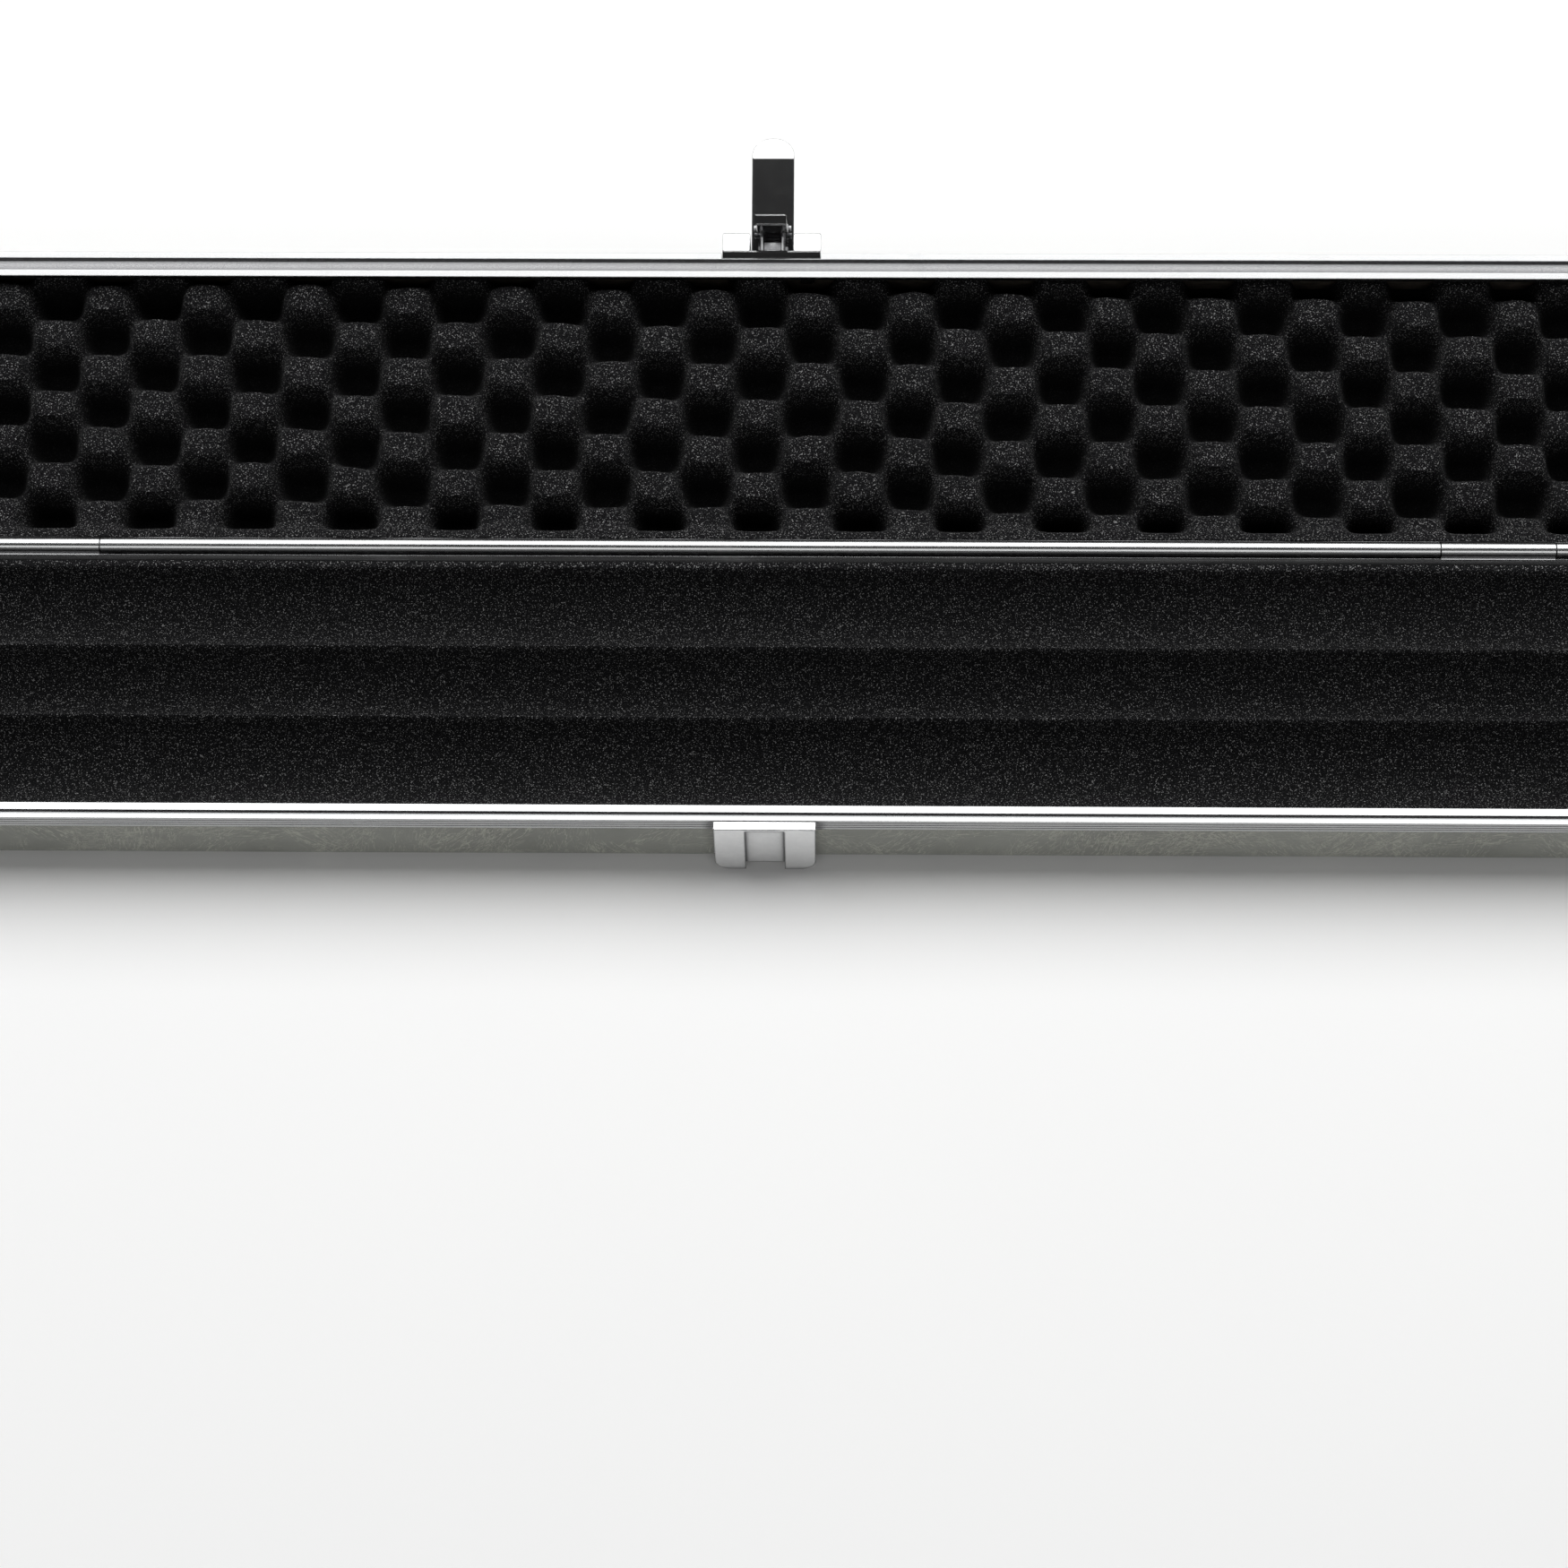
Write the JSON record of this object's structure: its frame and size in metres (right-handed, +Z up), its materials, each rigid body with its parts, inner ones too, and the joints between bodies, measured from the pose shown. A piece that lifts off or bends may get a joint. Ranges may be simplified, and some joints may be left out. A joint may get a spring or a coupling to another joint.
{
  "type": "cue case",
  "caption": "Long slim hard case, leather-covered with aluminium edge rails, hinged lid lying open, channelled foam base, foam lid lining, lever latches and a strap handle.",
  "frame": {"origin": "centre of the base's flat underside, on the surface that the case lies on", "axes": "+X along the case, -Y towards the latch side of the base, +Y towards the hinge and the open lid, +Z up"},
  "size_m": [1.25, 0.2472, 0.0723],
  "materials": {
    "leather": "satin",
    "strap_leather": "satin",
    "board": "matte",
    "foam": "matte",
    "aluminium": "satin",
    "chrome": "polished",
    "steel": "satin",
    "stiffener": "matte"
  },
  "bodies": {
    "base": {"base_cover": "leather", "base_end_rail_left": "aluminium", "base_end_rail_right": "aluminium", "base_foam": "foam", "base_front_rail": "aluminium", "base_hinge_rail": "aluminium", "base_shell": "board", "hinge_rod": "steel", "keeper_centre": "chrome", "keeper_left": "chrome", "keeper_right": "chrome", "keeper_screws": "steel"},
    "lid": {"bracket_screws": "steel", "handle_rivets": "chrome", "handle_tails": "strap_leather", "handle_washers": "steel", "latch_bracket_centre": "chrome", "latch_bracket_left": "chrome", "latch_bracket_right": "chrome", "latch_pin_centre": "steel", "latch_pin_left": "steel", "latch_pin_right": "steel", "latch_springs_centre": "steel", "latch_springs_left": "steel", "latch_springs_right": "steel", "lid_cover": "leather", "lid_end_rail_left": "aluminium", "lid_end_rail_right": "aluminium", "lid_foam": "foam", "lid_front_rail": "aluminium", "lid_hinge_rail": "aluminium", "lid_shell": "board"},
    "handle": {"handle_core": "stiffener", "handle_strap": "strap_leather"},
    "lever_left": {"claw_rod_left": "steel", "claw_spring_left": "steel", "latch_lever_left": "chrome"},
    "lever_centre": {"claw_rod_centre": "steel", "claw_spring_centre": "steel", "latch_lever_centre": "chrome"},
    "lever_right": {"claw_rod_right": "steel", "claw_spring_right": "steel", "latch_lever_right": "chrome"},
    "claw_left": {"latch_claw_left": "chrome"},
    "claw_centre": {"latch_claw_centre": "chrome"},
    "claw_right": {"latch_claw_right": "chrome"}
  },
  "joints": [
    {"name": "lid_hinge", "type": "hinge", "parent": "base", "child": "lid", "pos_m": [0, 0.049, 0.0276], "axis": [1, 0, 0], "range_deg": [0, 163]},
    {"name": "handle_lift", "type": "slide", "parent": "lid", "child": "handle", "axis": [0, 0.2924, -0.9563], "range_m": [0, 0.023]},
    {"name": "lever_left_pivot", "type": "hinge", "parent": "lid", "child": "lever_left", "pos_m": [-0.42, 0.1538, 0.03915], "axis": [1, 0, 0], "range_deg": [0, 85]},
    {"name": "claw_left_pivot", "type": "hinge", "parent": "lever_left", "child": "claw_left", "pos_m": [-0.42, 0.1627, 0.04274], "axis": [1, 0, 0], "range_deg": [-95.1, 0]},
    {"name": "lever_centre_pivot", "type": "hinge", "parent": "lid", "child": "lever_centre", "pos_m": [0, 0.1538, 0.03915], "axis": [1, 0, 0], "range_deg": [0, 85]},
    {"name": "claw_centre_pivot", "type": "hinge", "parent": "lever_centre", "child": "claw_centre", "pos_m": [0, 0.1627, 0.04274], "axis": [1, 0, 0], "range_deg": [-95.1, 0]},
    {"name": "lever_right_pivot", "type": "hinge", "parent": "lid", "child": "lever_right", "pos_m": [0.42, 0.1538, 0.03915], "axis": [1, 0, 0], "range_deg": [0, 85]},
    {"name": "claw_right_pivot", "type": "hinge", "parent": "lever_right", "child": "claw_right", "pos_m": [0.42, 0.1627, 0.04274], "axis": [1, 0, 0], "range_deg": [-95.1, 0]}
  ],
  "couplings": [
    {"joint": "handle_lift", "follows": "lid_hinge", "m_per_rad": 0.00808},
    {"joint": "claw_left_pivot", "follows": "lever_left_pivot", "ratio": -1.1176},
    {"joint": "claw_centre_pivot", "follows": "lever_centre_pivot", "ratio": -1.1176},
    {"joint": "claw_right_pivot", "follows": "lever_right_pivot", "ratio": -1.1176}
  ]
}
